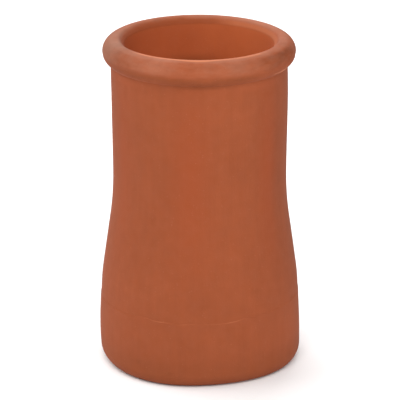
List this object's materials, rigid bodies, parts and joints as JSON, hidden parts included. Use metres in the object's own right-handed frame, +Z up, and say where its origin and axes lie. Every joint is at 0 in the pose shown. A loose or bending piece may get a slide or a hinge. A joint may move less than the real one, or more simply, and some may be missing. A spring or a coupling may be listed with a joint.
{
  "type": "chimney pot",
  "caption": "Roll-top chimney pot in unglazed red clay: open straight flue, rounded bead round the mouth, flared foot.",
  "frame": {"origin": "centre of the underside, on the axis of the flue, at the height of the bed that the pot stands on", "axes": "+Z up along the axis of the flue, -Y towards the viewer of the picture, +X to the right"},
  "size_m": [0.2738, 0.274, 0.45],
  "materials": {
    "terracotta": "matt unglazed fired clay"
  },
  "bodies": {
    "root": {"chimney_pot": "terracotta"}
  },
  "joints": []
}
